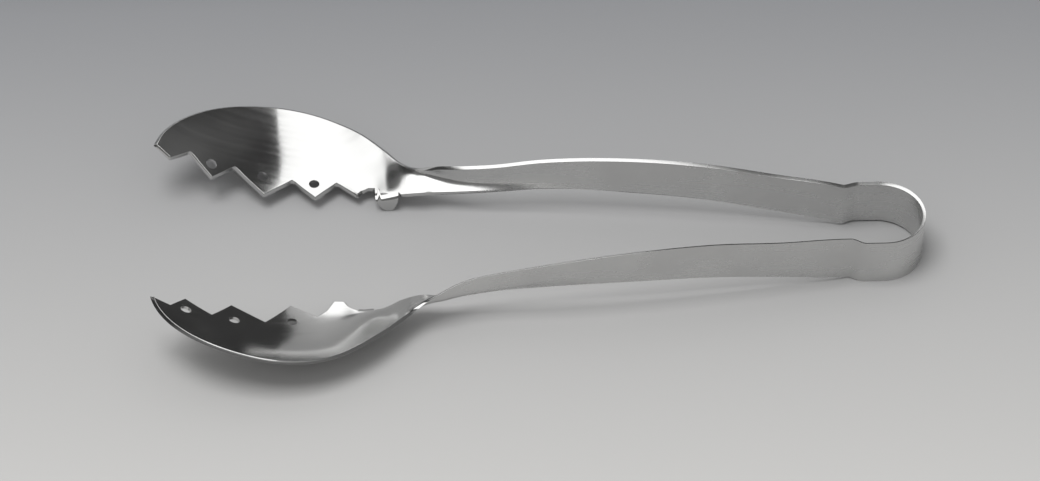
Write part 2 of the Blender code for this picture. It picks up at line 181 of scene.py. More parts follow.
def strip_point(run, across):
    """A point on the middle of the right arm's sheet, with across from 0 (low edge) to 1 (top edge)."""
    spot = on_curve(section_curve(section_at(run)), across)
    return Vector((WAIST_X - run, spot.x, spot.y))


def arc_point(angle, across):
    """A point on the bow's half circle, with the angle measured from the crown towards the right arm."""
    side = BOW_RADIUS * math.sin(angle)
    return Vector((BOW_X + BOW_RADIUS * math.cos(angle), side, across * BOW_HEIGHT))


def cheek_point(from_bow, across):
    """A point on the right cheek or joggle, by its distance from the bow's centre towards the waist."""
    t = max(0.0, (from_bow - CHEEK_LENGTH) / JOGGLE_LENGTH)
    blend = t * t * (3 - 2 * t)
    waist = strip_point(0.0, across)
    side = BOW_RADIUS + blend * (waist.y - BOW_RADIUS)
    height = across * BOW_HEIGHT
    return Vector((BOW_X - from_bow, side, height + blend * (waist.z - height)))


def normal_of(surface, u, v, step_u, step_v):
    """The unit normal of a surface, from the differences between its points close to (u, v)."""
    along = surface(u + step_u, v) - surface(u - step_u, v)
    over = surface(u, v + step_v) - surface(u, v - step_v)
    return along.cross(over).normalized()


SPREAD_TOLERANCE = 1e-6


def spread(start, end, step):
    """Evenly spaced values from start to end, no further apart than step."""
    count = max(1, math.ceil(abs(end - start) / step - SPREAD_TOLERANCE))
    return [start + (end - start) * k / count for k in range(count + 1)]


POINT_GRID = 0.001 * MM
SHARPEST_CORNER = 0.3


class Blank:
    """The strip's middle surface: points, each with the sheet's normal and its place on the flat strip."""

    def __init__(self):
        self.points = []
        self.normals = []
        self.places = []
        self.faces = []
        self.found = {}
        self.edge_shares = {}

    def point(self, side, point, normal, place):
        """The number of a point of one arm, which is the same one where two stretches meet."""
        spot = Vector((point.x, side * point.y, point.z))
        key = tuple(round(value / POINT_GRID) for value in spot)
        if key not in self.found:
            self.found[key] = len(self.points)
            self.points.append(spot)
            self.normals.append(Vector((normal.x, side * normal.y, normal.z)))
            self.places.append((place[0], side * place[1]))
        return self.found[key]

    def slants(self):
        """For each point on a cut edge, the way into the sheet, and a zero vector for the rest."""
        counted = {}
        for corners in self.faces:
            for a, b in zip(corners, corners[1:] + corners[:1]):
                counted[(a, b)] = True
        inward = [Vector() for _ in self.points]
        ways = {}
        for a, b in counted:
            if (b, a) not in counted:
                way = self.normals[a].cross(self.points[b] - self.points[a]).normalized()
                ways.setdefault(a, []).append(way)
                ways.setdefault(b, []).append(way)
        for number, found in ways.items():
            half = sum(found, Vector()) / len(found)
            lean = half / max(half.length_squared, SHARPEST_CORNER)
            inward[number] = lean * self.edge_shares.get(number, 1.0)
        return inward

    def face(self, corners):
        """A face, wound so that it looks the way of the sheet's normal."""
        a, b, c = (self.points[k] for k in corners[:3])
        outward = sum((self.normals[k] for k in corners), Vector())
        if (b - a).cross(c - a).dot(outward) < 0:
            corners = corners[::-1]
        self.faces.append(tuple(corners))


STRIP_COLUMNS = 16
BOW_STEP = math.radians(1.5)
CHEEK_STEP = 0.6 * MM
JOGGLE_ROW_STEP = 0.3 * MM
WAIST_STEP = 0.25 * MM
WAIST_END = 1.0 * MM
HANDLE_STEP = 1.0 * MM
NECK_STEP = 0.7 * MM
ANGLE_PROBE = 0.01
JOGGLE_PROBE = 0.05 * MM
RUN_PROBE = 0.1 * MM
ACROSS_PROBE = 0.002
GRAIN_OFFSET = 0.05
blank = Blank()


def add_strip(side, surface, stops, place_of, step_u):
    """A stretch of one arm's strip, as rows of points at the given stops."""
    rows = []
    for stop in stops:
        row = []
        for column in range(STRIP_COLUMNS + 1):
            across = column / STRIP_COLUMNS
            normal = normal_of(surface, stop, across, step_u, ACROSS_PROBE)
            row.append(blank.point(side, surface(stop, across), normal, place_of(stop, across)))
        rows.append(row)
    for near, far in zip(rows, rows[1:]):
        for k in range(STRIP_COLUMNS):
            blank.face([near[k], near[k + 1], far[k + 1], far[k]])


def place_on_strip(run, across):
    """Where a point of the arm lies on the flat strip: along it from the crown, and across it."""
    at = section_at(run)
    width = math.hypot(at.top_side - at.low_side, at.top_height - at.low_height)
    return BOW_RADIUS * math.pi / 2 + WAIST_FROM_BOW + run, GRAIN_OFFSET + across * width


def place_on_arc(angle, across):
    """Where a point of the bow's half circle lies on the flat strip."""
    return BOW_RADIUS * angle, GRAIN_OFFSET + across * BOW_HEIGHT


def place_on_cheek(from_bow, across):
    """Where a point of a cheek or joggle lies on the flat strip."""
    return BOW_RADIUS * math.pi / 2 + from_bow, GRAIN_OFFSET + across * BOW_HEIGHT


for side in (-1, 1):
    add_strip(side, arc_point, spread(0.0, math.pi / 2, BOW_STEP), place_on_arc, ANGLE_PROBE)
    stops = spread(0.0, CHEEK_LENGTH, CHEEK_STEP) + spread(CHEEK_LENGTH, WAIST_FROM_BOW, JOGGLE_ROW_STEP)[1:]
    add_strip(side, cheek_point, stops, place_on_cheek, JOGGLE_PROBE)
    stops = spread(0.0, WAIST_END, WAIST_STEP) + spread(WAIST_END, HANDLE_LENGTH, HANDLE_STEP)[1:]
    stops += spread(HANDLE_LENGTH, HEAD_SEAM, NECK_STEP)[1:]
    add_strip(side, strip_point, stops, place_on_strip, RUN_PROBE)

# Heads.
# Each head is the strip's flared end: teeth and holes are pierced while it is flat, and a die then dishes
# it. The two rows of teeth stand half a pitch apart. Teeth, tail and holes are given as a percentage of the
# head's length and a depth in millimetres.
Head = namedtuple("Head", "teeth tail holes tab")
Tab = namedtuple("Tab", "start width root_side flap_side bend_drop")
LEFT_HEAD = Head(
    teeth=(
        (92.4, 5.0), (86.6, 0.0), (75.8, 6.4), (68.0, 0.0), (54.1, 8.3), (43.7, 0.0), (32.6, 5.3),
        (29.2, 3.0), (25.8, -1.5), (21.0, -1.7), (19.3, 0.1), (16.0, 1.6),
    ),
    tail=((8.4, 1.3), (5.1, 1.4), (1.9, 0.9), (-1.3, 0.3)),
    holes=((85.9, 6.5), (66.5, 8.8), (42.8, 8.5)),
    tab=Tab(start=8.9, width=6.7, root_side=14.7, flap_side=12.9, bend_drop=1.8),
)
RIGHT_HEAD = Head(
    teeth=(
        (93.2, 0.0), (85.2, 5.8), (76.3, 0.0), (66.6, 7.1), (54.3, 0.0), (42.2, 7.3), (32.6, 0.0),
        (23.3, 6.0), (14.6, 0.2), (12.9, 1.9), (9.9, 2.9), (7.9, 2.6),
    ),
    tail=((-3.4, 0.1),),
    holes=((76.4, 5.2), (54.9, 7.4), (33.0, 6.4)),
    tab=Tab(start=-2.8, width=10.1, root_side=12.3, flap_side=10.8, bend_drop=1.6),
)
HOLE_DIAMETER = 3.2 * MM
HOLE_SIDES = 32
HOLE_RING_REACH = HOLE_DIAMETER * 0.505
RIM_STEP = 0.8 * MM
LATTICE_STEP = 1.0 * MM
EDGE_CLEARANCE = RIM_STEP * 1.15
PLAN_TOLERANCE = 1e-7
ACROSS_LIMITS = (-0.4, 1.2)
ACROSS_HALVINGS = 30
NARROW_EDGE = 0.1
NARROWING = 3.0 * MM
TAB_COLUMNS = 12


def across_head(from_heel, side):
    """How far across the section a point of the head's plan lies."""
    curve = section_curve(section_at(HEEL_RUN + from_heel))
    low, high = ACROSS_LIMITS
    for _ in range(ACROSS_HALVINGS):
        middle = (low + high) / 2
        if on_curve(curve, middle).x < side:
            low = middle
        else:
            high = middle
    return middle


def head_point(from_heel, side):
    """A point on the middle of the sheet of the right head, by its place in plan."""
    return strip_point(HEEL_RUN + from_heel, across_head(from_heel, side))


def along_head(place):
    """The distance from the heel of a place along the head."""
    return place / 100 * HEAD_LENGTH


def edge_corner(place, depth):
    """A corner of the head's inner edge in plan, from its place and its depth in millimetres."""
    from_heel = along_head(place)
    return Vector((from_heel, section_at(HEEL_RUN + from_heel).low_side + depth * MM))


def tab_root_side(tab):
    """How far the tab's root stands from the middle of the tongs."""
    return WAIST_SIDE + tab.root_side * MM


def head_outline(head):
    """The head in plan: rim, tip, teeth, tab root, tail, and the row of points shared with the neck."""
    start = -HEAD_OVERLAP
    rim = []
    for from_heel in spread(start, WIDEST_RUN, RIM_STEP)[:-1]:
        rim.append(Vector((from_heel, section_at(HEEL_RUN + from_heel).top_side)))
    for angle in spread(0.0, RIM_END_ANGLE, RIM_STEP / RIM_REACH):
        from_heel = WIDEST_RUN + RIM_REACH * math.sin(angle)
        rim.append(Vector((from_heel, WAIST_SIDE + rim_side(HEEL_RUN + from_heel))))
    root_side = tab_root_side(head.tab)
    root = [
        Vector((along_head(head.tab.start + head.tab.width), root_side)),
        Vector((along_head(head.tab.start), root_side)),
    ]
    seam = section_at(HEAD_SEAM)
    low = Vector((start, seam.low_side))
    inner = [rim[-1], *(edge_corner(*corner) for corner in head.teeth), root[0]]
    tail = [root[1], *(edge_corner(*corner) for corner in head.tail), low]
    outline = list(rim)
    for corners, step in ((inner, RIM_STEP), (root, None), (tail, RIM_STEP)):
        for a, b in zip(corners, corners[1:]):
            share = 1 / TAB_COLUMNS if step is None else step / (b - a).length
            outline += [a.lerp(b, t) for t in spread(0.0, 1.0, share)[1:]]
    curve = section_curve(seam)
    for column in range(1, STRIP_COLUMNS):
        outline.append(Vector((start, on_curve(curve, column / STRIP_COLUMNS).x)))
    return outline


def inside(point, outline):
    """Whether a point of the plan lies within the closed outline."""
    crossings = 0
    for start, end in zip(outline, outline[1:] + outline[:1]):
        if (start.y > point.y) != (end.y > point.y):
            slant = (end.x - start.x) / (end.y - start.y)
            crossings += point.x < start.x + (point.y - start.y) * slant
    return crossings % 2 == 1


def head_lattice(outline, rings):
    """Points spread evenly through the head's plan, clear of its edge and holes."""
    ring_points = [point for _, ring in rings for point in ring]
    edges = np.array([tuple(point) for point in outline + ring_points])
    low = edges.min(axis=0)
    high = edges.max(axis=0)
    points = []
    for row, side in enumerate(spread(low[1], high[1], LATTICE_STEP * math.sin(math.pi / 3))):
        for from_heel in spread(low[0], high[0], LATTICE_STEP):
            point = Vector((from_heel + LATTICE_STEP / 2 * (row % 2), side))
            clear = np.hypot(*(edges - np.array(point)).T).min() > EDGE_CLEARANCE
            in_hole = any((point - centre).length < HOLE_DIAMETER / 2 for centre, _ in rings)
            if clear and not in_hole and inside(point, outline):
                points.append(point)
    return points


def add_head(side, head):
    """The dished head: its plan is triangulated, and each point is lifted to the dished surface."""
    outline = head_outline(head)
    rings = []
    for hole in head.holes:
        centre = edge_corner(*hole)
        turns = [2 * math.pi * k / HOLE_SIDES for k in range(HOLE_SIDES)]
        ring = [centre + Vector((math.cos(turn), math.sin(turn))) * HOLE_DIAMETER / 2 for turn in turns]
        rings.append((centre, ring))
    plan = []
    edges = []
    for loop in [outline, *(ring for _, ring in rings)]:
        count = len(loop)
        edges += [(len(plan) + k, len(plan) + (k + 1) % count) for k in range(count)]
        plan += loop
    plan += head_lattice(outline, rings)
    plan, _, faces, *_ = delaunay_2d_cdt(plan, edges, [], 1, PLAN_TOLERANCE)
    numbers = []
    for spot in plan:
        run = HEEL_RUN + spot.x
        across = across_head(spot.x, spot.y)
        normal = normal_of(strip_point, run, across, RUN_PROBE, ACROSS_PROBE)
        numbers.append(blank.point(side, strip_point(run, across), normal, place_on_strip(run, across)))
    root_side = tab_root_side(head.tab)
    tab_ends = [Vector((along_head(head.tab.start + width), root_side)) for width in (0, head.tab.width)]
    for number, spot in zip(numbers, plan):
        from_tab = min((spot - end).length for end in tab_ends)
        share = NARROW_EDGE + (1 - NARROW_EDGE) * min(1.0, from_tab / NARROWING)
        if any((spot - centre).length < HOLE_RING_REACH for centre, _ in rings):
            share = NARROW_EDGE
        blank.edge_shares[number] = share
    for face in faces:
        middle = sum((plan[k] for k in face), Vector((0, 0))) / len(face)
        if all((middle - centre).length > HOLE_DIAMETER / 2 for centre, _ in rings):
            blank.face([numbers[k] for k in face])


# Rest tabs.
# A small tab behind each head is folded down from its inner edge. It is the foot that the tongs lie on and
# the stop that keeps the two rows of teeth apart when they close.
FLAP_INSET = 1.2 * MM
FOOT_PLACE = 0.42
FOOT_WIDTH = 1.0 * MM
FOOT_RADIUS = 0.8 * MM
BEND_ROWS = 10
FLAP_ROWS = 5
FOOT_ROWS = 8
SLOPE_PROBE = 0.3 * MM
TAB_PROBE = 0.001
TAB_GRAIN_LENGTH = 4 * MM


def tab_span(tab, height, top):
    """The ends of the tab at a height of its flap: straight sides that draw in to a rounded foot."""
    start, end = along_head(tab.start), along_head(tab.start + tab.width)
    middle = start + (end - start) * FOOT_PLACE
    t = min(1.0, height / top)
    foot = (middle - FOOT_WIDTH / 2, middle + FOOT_WIDTH / 2)
    low = foot[0] + t * (start + FLAP_INSET - foot[0])
    high = foot[1] + t * (end - FLAP_INSET - foot[1])
    rise = min(1.0, height / FOOT_RADIUS)
    bulge = math.sqrt(1 - (1 - rise) ** 2) * FOOT_RADIUS
    return max(low - bulge, start), min(high + bulge, end)


def add_tab(side, tab):
    """The tab's bend and flap, which start from the points along its root."""
    root_side = tab_root_side(tab)
    flap_side = WAIST_SIDE + tab.flap_side * MM
    middle = along_head(tab.start + tab.width / 2)
    step = head_point(middle, root_side + SLOPE_PROBE) - head_point(middle, root_side)
    slope = step.z / step.y
    flap_top = head_point(middle, root_side).z - tab.bend_drop * MM

    def tab_point(row, column):
        """Rows 0 to 1 run round the bend, and rows 1 to 2 down the flap."""
        height = flap_top * (2 - max(row, 1.0))
        low, high = tab_span(tab, height, flap_top)
        end = Vector((low + column * (high - low), flap_side, height))
        if row < 1:
            from_heel = along_head(tab.start + column * tab.width)
            start = head_point(from_heel, root_side)
            start.x = from_heel
            corner = Vector((from_heel, flap_side, start.z - slope * (start.y - flap_side)))
            end = start.lerp(corner, row).lerp(corner.lerp(end, row), row)
        return Vector((WAIST_X - HEEL_RUN - end.x, end.y, end.z))

    foot_share = FOOT_RADIUS / flap_top
    rows = spread(0.0, 1.0, 1 / BEND_ROWS)
    rows += spread(1.0, 2 - foot_share, (1 - foot_share) / FLAP_ROWS)[1:]
    for k in range(1, FOOT_ROWS + 1):
        rows.append(2 - foot_share * (1 - math.sin(math.pi / 2 * k / FOOT_ROWS)))
    grid = []
    for row in rows:
        line = []
        for k in range(TAB_COLUMNS + 1):
            column = k / TAB_COLUMNS
            normal = Vector((0, 1, 0))
            if row < 1:
                normal = normal_of(tab_point, row, column, TAB_PROBE, TAB_PROBE)
            root = place_on_strip(HEEL_RUN + along_head(tab.start + column * tab.width), 0.0)
            place = (root[0], root[1] - TAB_GRAIN_LENGTH * row)
            line.append(blank.point(side, tab_point(row, column), normal, place))
        grid.append(line)
        blank.edge_shares.update({number: NARROW_EDGE for number in line})
    for near, far in zip(grid, grid[1:]):
        for k in range(TAB_COLUMNS):
            blank.face([near[k], near[k + 1], far[k + 1], far[k]])


strip_faces = len(blank.faces)
for side, head in ((-1, LEFT_HEAD), (1, RIGHT_HEAD)):
    add_head(side, head)
for side, head in ((-1, LEFT_HEAD), (1, RIGHT_HEAD)):
    add_tab(side, head.tab)

# Steel.
# Cold-rolled 18/8 stainless sheet. The handles and bow keep a fine satin grain along the strip, and the
# heads are buffed after pressing, so they mirror the softbox with only a little blur.


def linear(hex_colour):
    """An sRGB hex colour as linear RGBA."""
    values = [int(hex_colour[k:k + 2], 16) / 255 for k in (0, 2, 4)]
    return tuple(v / 12.92 if v <= 0.04045 else ((v + 0.055) / 1.055) ** 2.4 for v in values) + (1.0,)


def add_node(tree, kind, links=(), settings=(), values=()):
    """A node with its settings and input values, and links given as (input, socket that feeds it)."""
    node = tree.nodes.new(kind)
    for name, value in dict(settings).items():
        setattr(node, name, value)
    for name, value in dict(values).items():
        node.inputs[name].default_value = value
    for name, socket in dict(links).items():
        tree.links.new(socket, node.inputs[name])
    return node


def new_material(name):
    """A new material, with its node tree and its shader."""
    material = bpy.data.materials.new(name)
    material.use_nodes = True
    return material, material.node_tree, material.node_tree.nodes["Principled BSDF"]


HEAD_ROUGHNESS = 0.12
SATIN_ROUGHNESS = 0.24
SATIN_GRAIN_DEPTH = 0.0012 * MM
BUFFED_GRAIN_DEPTH = 0.0006 * MM
DRAWING_DEPTH = 0.0005 * MM
HANDLING_HAZE = 0.93
MARK_ROUGHNESS = 0.03
STREAK_ROUGHNESS = 0.05
BUFFING_START = 146.0 * MM
BUFFING_END = 169.0 * MM
GRAIN_SCALE = (60, 2500, 1)
DRAWING_SCALE = (14, 420, 1)
CLOUDS_PER_METRE = 60.0


def stainless(name, colour, roughness, grain_depth):
    """Stainless steel with its grain along the strip. It turns from the given roughness to the heads'."""
    material, tree, shader = new_material(name)
    shader.inputs["Metallic"].default_value = 1.0
    strip_map = add_node(tree, "ShaderNodeUVMap", settings={"uv_map": "Strip"})
    stretched = add_node(
        tree, "ShaderNodeMapping", {"Vector": strip_map.outputs["UV"]}, values={"Scale": GRAIN_SCALE}
    )
    grain = add_node(
        tree, "ShaderNodeTexNoise", {"Vector": stretched.outputs["Vector"]},
        values={"Scale": 1.0, "Detail": 3.0, "Roughness": 0.6},
    )
    place = add_node(tree, "ShaderNodeTexCoord")
    cloud = add_node(
        tree, "ShaderNodeTexNoise", {"Vector": place.outputs["Object"]},
        values={"Scale": CLOUDS_PER_METRE, "Detail": 4.0, "Roughness": 0.55},
    )
    haze = add_node(
        tree, "ShaderNodeMapRange", {"Value": cloud.outputs["Fac"]},
        values={"From Min": 0.35, "From Max": 0.65, "To Min": HANDLING_HAZE, "To Max": 1.0},
    )
    tint = add_node(
        tree, "ShaderNodeVectorMath", {"Scale": haze.outputs["Result"]},
        {"operation": "SCALE"}, {0: linear(colour)[:3]},
    )
    tree.links.new(tint.outputs["Vector"], shader.inputs["Base Color"])
    spot = add_node(tree, "ShaderNodeSeparateXYZ", {"Vector": strip_map.outputs["UV"]})
    finish = add_node(
        tree, "ShaderNodeMapRange", {"Value": spot.outputs["X"]}, {"interpolation_type": "SMOOTHSTEP"},
        {"From Min": BUFFING_START, "From Max": BUFFING_END, "To Min": roughness, "To Max": HEAD_ROUGHNESS},
    )
    marks = add_node(
        tree, "ShaderNodeMapRange", {"Value": cloud.outputs["Fac"]},
        values={"From Min": 0.3, "From Max": 0.7, "To Min": -MARK_ROUGHNESS, "To Max": MARK_ROUGHNESS},
    )
    level = add_node(
        tree, "ShaderNodeMath", {0: finish.outputs["Result"], 1: marks.outputs["Result"]},
        {"operation": "ADD"},
    )
    drawn = add_node(
        tree, "ShaderNodeMapping", {"Vector": strip_map.outputs["UV"]}, values={"Scale": DRAWING_SCALE}
    )
    streaks = add_node(
        tree, "ShaderNodeTexNoise", {"Vector": drawn.outputs["Vector"]},
        values={"Scale": 1.0, "Detail": 2.0, "Roughness": 0.5},
    )
    wiped = add_node(
        tree, "ShaderNodeMapRange", {"Value": streaks.outputs["Fac"]},
        values={"From Min": 0.35, "From Max": 0.65, "To Min": 0.0, "To Max": STREAK_ROUGHNESS},
    )
    streaked = add_node(
        tree, "ShaderNodeMath", {0: level.outputs["Value"], 1: wiped.outputs["Result"]},
        {"operation": "ADD"},
    )
    tree.links.new(streaked.outputs["Value"], shader.inputs["Roughness"])
    waves = add_node(
        tree, "ShaderNodeBump", {"Height": streaks.outputs["Fac"]},
        values={"Strength": 1.0, "Distance": DRAWING_DEPTH},
    )
    bump = add_node(
        tree, "ShaderNodeBump", {"Height": grain.outputs["Fac"], "Normal": waves.outputs["Normal"]},
        values={"Strength": 1.0, "Distance": grain_depth},
    )
    tree.links.new(bump.outputs["Normal"], shader.inputs["Normal"])
    return material


# The satin steel blurs what it mirrors to an even grey with fine lines, and the buffed steel keeps the edge
# of the softbox and the dark of the room.
satin_steel = stainless("Satin 18-8 stainless steel", "D2D2D1", SATIN_ROUGHNESS, SATIN_GRAIN_DEPTH)
buffed_steel = stainless("Buffed 18-8 stainless steel", "C7C7C6", HEAD_ROUGHNESS, BUFFED_GRAIN_DEPTH)

# Cut edges.
# The sheet's thickness, as the blanking punch leaves it. The cut slants in from the outer face to the inner
# one, where it is rounded, so that it catches a thin line of light.
EDGE_SLANT = 0.50 * MM
EDGE_ROUNDING = 0.20 * MM
BURR_SHARE = 0.2
ARC_STEPS = 3
MERGE_DISTANCE = 0.0005 * MM
BROAD_FACING = 0.97


def edge_profile():
    """Points round the cut edge from the outer face to the inner one, each as four shares: of the rounding
    and the slant in its inset, and of the thickness and the rounding in its height over the sheet's middle.
    """
    turns = [math.pi / 2 * k / ARC_STEPS for k in range(ARC_STEPS + 1)]
    outer = [(BURR_SHARE * (1 - math.sin(t)), 0, 0.5, -BURR_SHARE * (1 - math.cos(t))) for t in turns]
    inner = [(1 - math.sin(t), 1, -0.5, 1 - math.cos(t)) for t in reversed(turns)]
    return outer + inner


def sheet_tree():
    """Geometry Nodes that give a middle surface the sheet's thickness and its cut edges."""
    tree = bpy.data.node_groups.new("Sheet metal", "GeometryNodeTree")
    tree.is_modifier = True
    face = tree.interface
    face.new_socket("Geometry", in_out="INPUT", socket_type="NodeSocketGeometry")
    for size in ("Thickness", "Edge slant", "Edge rounding"):
        face.new_socket(size, in_out="INPUT", socket_type="NodeSocketFloat")
    for steel in ("Strip steel", "Head steel"):
        face.new_socket(steel, in_out="INPUT", socket_type="NodeSocketMaterial")
    face.new_socket("Geometry", in_out="OUTPUT", socket_type="NodeSocketGeometry")
    given = add_node(tree, "NodeGroupInput")

    def stored(name, data_type="FLOAT_VECTOR"):
        """The socket of a stored attribute."""
        node = add_node(
            tree, "GeometryNodeInputNamedAttribute", settings={"data_type": data_type}, values={"Name": name}
        )
        return node.outputs["Attribute"]

    sheet_middle, sheet_normal, into_sheet = map(stored, ("sheet_middle", "sheet_normal", "into_sheet"))

    def share_sum(first, share_a, second, share_b):
        """The sum of a share of each of two sizes."""
        part = add_node(
            tree, "ShaderNodeMath", {0: given.outputs[second]}, {"operation": "MULTIPLY"}, {1: share_b}
        )
        whole = add_node(
            tree, "ShaderNodeMath", {0: given.outputs[first], 2: part.outputs["Value"]},
            {"operation": "MULTIPLY_ADD"}, {1: share_a},
        )
        return whole.outputs["Value"]

    def moved(geometry, point, selection=None):
        """The geometry with its selected points set to a point of the edge profile."""
        inset = share_sum("Edge rounding", point[0], "Edge slant", point[1])
        height = share_sum("Thickness", point[2], "Edge rounding", point[3])
        aside = add_node(
            tree, "ShaderNodeVectorMath", {0: into_sheet, "Scale": inset}, {"operation": "SCALE"}
        )
        lifted = add_node(
            tree, "ShaderNodeVectorMath", {0: sheet_normal, "Scale": height}, {"operation": "SCALE"}
        )
        offset = add_node(
            tree, "ShaderNodeVectorMath", {0: aside.outputs["Vector"], 1: lifted.outputs["Vector"]},
            {"operation": "ADD"},
        )
        spot = add_node(
            tree, "ShaderNodeVectorMath", {0: sheet_middle, 1: offset.outputs["Vector"]},
            {"operation": "ADD"},
        )
        links = {"Geometry": geometry, "Position": spot.outputs["Vector"]}
        if selection:
            links["Selection"] = selection
        return add_node(tree, "GeometryNodeSetPosition", links).outputs["Geometry"]

    outer_face, *ring_points, inner_face = edge_profile()
    shell = moved(given.outputs["Geometry"], outer_face)
    for point in (*ring_points, inner_face):
        faces = add_node(tree, "GeometryNodeInputMeshEdgeNeighbors")
        rim = add_node(
            tree, "FunctionNodeCompare", {2: faces.outputs["Face Count"]},
            {"data_type": "INT", "operation": "EQUAL"}, {3: 1},
        )
        ring = add_node(
            tree, "GeometryNodeExtrudeMesh", {"Mesh": shell, "Selection": rim.outputs["Result"]},
            {"mode": "EDGES"}, {"Offset Scale": 0.0},
        )
        shell = moved(ring.outputs["Mesh"], point, ring.outputs["Top"])
    turned = add_node(tree, "GeometryNodeFlipFaces", {"Mesh": given.outputs["Geometry"]})
    joined = add_node(tree, "GeometryNodeJoinGeometry", {"Geometry": shell})
    tree.links.new(moved(turned.outputs["Mesh"], inner_face), joined.inputs["Geometry"])
    merged = add_node(
        tree, "GeometryNodeMergeByDistance", {"Geometry": joined.outputs["Geometry"]},
        values={"Distance": MERGE_DISTANCE},
    )
    smooth = add_node(tree, "GeometryNodeSetShadeSmooth", {"Geometry": merged.outputs["Geometry"]})
    real = add_node(tree, "GeometryNodeRealizeInstances", {"Geometry": smooth.outputs["Geometry"]})
    strip = add_node(
        tree, "GeometryNodeSetMaterial",
        {"Geometry": real.outputs["Geometry"], "Material": given.outputs["Strip steel"]},
    )
    heads = add_node(
        tree, "GeometryNodeSetMaterial",
        {
            "Geometry": strip.outputs["Geometry"],
            "Selection": stored("is_head", "BOOLEAN"),
            "Material": given.outputs["Head steel"],
        },
    )
    add_node(tree, "NodeGroupOutput", {"Geometry": heads.outputs["Geometry"]})
    return tree


def set_inputs(modifier, values):
    """Sets a Geometry Nodes modifier's inputs, which are named here and addressed by identifier."""
    for item in modifier.node_group.interface.items_tree:
        if item.in_out == "INPUT" and item.name in values:
            modifier[item.identifier] = values[item.name]


middle = bpy.data.meshes.new("middle_surface")
middle.from_pydata(blank.points, [], blank.faces)
for name, vectors in (
    ("sheet_middle", blank.points), ("sheet_normal", blank.normals), ("into_sheet", blank.slants()),
):
    store = middle.attributes.new(name, "FLOAT_VECTOR", "POINT")
    store.data.foreach_set("vector", np.array([tuple(v) for v in vectors]).ravel())
head_store = middle.attributes.new("is_head", "BOOLEAN", "FACE")
head_store.data.foreach_set("value", [k >= strip_faces for k in range(len(blank.faces))])
strip_uv = middle.uv_layers.new(name="Strip")
corner_points = np.zeros(len(middle.loops), dtype=np.int32)
middle.loops.foreach_get("vertex_index", corner_points)
strip_uv.uv.foreach_set("vector", np.array(blank.places)[corner_points].ravel())
whole = bpy.data.objects.new("whole_strip", middle)
bpy.context.scene.collection.objects.link(whole)
thicken = whole.modifiers.new("Sheet metal", "NODES")
thicken.node_group = sheet_tree()
set_inputs(
    thicken,
    {
        "Thickness": SHEET,
        "Edge slant": EDGE_SLANT,
        "Edge rounding": EDGE_ROUNDING,
        "Strip steel": satin_steel,
        "Head steel": buffed_steel,
    },
)
bpy.context.view_layer.update()
formed = bpy.data.meshes.new_from_object(whole.evaluated_get(bpy.context.evaluated_depsgraph_get()))
bpy.data.objects.remove(whole, do_unlink=True)


def shading_normals():
    """A normal for each corner of the formed strip: exact on its broad faces, and smooth on its edges."""
    normals = np.zeros(len(formed.loops) * 3, dtype=np.float32)
    formed.corner_normals.foreach_get("vector", normals)
    normals = normals.reshape(-1, 3)
    sheet = np.zeros(len(formed.vertices) * 3, dtype=np.float32)
    formed.attributes["sheet_normal"].data.foreach_get("vector", sheet)
    sheet = sheet.reshape(-1, 3)
    broad = {}
    for polygon in formed.polygons:
        numbers = list(polygon.vertices)
        outward = sheet[numbers].mean(axis=0)
        outward /= np.linalg.norm(outward)
        facing = float(np.dot(np.array(polygon.normal), outward))
        if abs(facing) > BROAD_FACING:
            for number in numbers:
                broad[number] = math.copysign(1.0, facing)
    for loop in formed.loops:
        if loop.vertex_index in broad:
            exact = sheet[loop.vertex_index] * broad[loop.vertex_index]
            normals[loop.index] = exact / np.linalg.norm(exact)
    return normals


corner_normals = shading_normals()


def cut_piece(name, keep, material):
    """A piece of the formed strip. It keeps the whole strip's normals, so that no joint shows."""
    uvs = np.zeros(len(formed.loops) * 2, dtype=np.float32)
    formed.uv_layers["Strip"].uv.foreach_get("vector", uvs)
    uvs = uvs.reshape(-1, 2)
    numbers = {}
    points = []
    faces = []
    corners = []
    for polygon in formed.polygons:
        if not keep[polygon.index]:
            continue
        face = []
        for corner in polygon.loop_indices:
            vertex = formed.loops[corner].vertex_index
            if vertex not in numbers:
                numbers[vertex] = len(points)
                points.append(tuple(formed.vertices[vertex].co))
            face.append(numbers[vertex])
            corners.append(corner)
        faces.append(face)
    mesh = bpy.data.meshes.new(name)
    mesh.from_pydata(points, [], faces)
    mesh.uv_layers.new(name="Strip").uv.foreach_set("vector", uvs[corners].ravel())
    mesh.shade_smooth()
    mesh.normals_split_custom_set([tuple(n) for n in corner_normals[corners]])
    mesh.materials.append(material)
    piece = bpy.data.objects.new(name, mesh)
    bpy.context.scene.collection.objects.link(piece)
    return piece


head_slot = formed.materials.find(buffed_steel.name)
is_head = np.array([polygon.material_index for polygon in formed.polygons]) == head_slot
on_left = np.array([polygon.center.y < 0 for polygon in formed.polygons])
for side_name, chosen in (("left", on_left), ("right", ~on_left)):
    arm = f"{side_name}_arm"
    strip = cut_piece(f"sprung_strip_{side_name}", chosen & ~is_head, satin_steel)
    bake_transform(strip)
    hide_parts(f"bow_side_{side_name}", f"handle_{side_name}", f"neck_{side_name}")
    toothed = cut_piece(f"toothed_head_{side_name}", chosen & is_head, buffed_steel)
    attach(toothed, arm)
    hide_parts(f"scoop_{side_name}", f"rest_tab_{side_name}")
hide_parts("bow_crown")

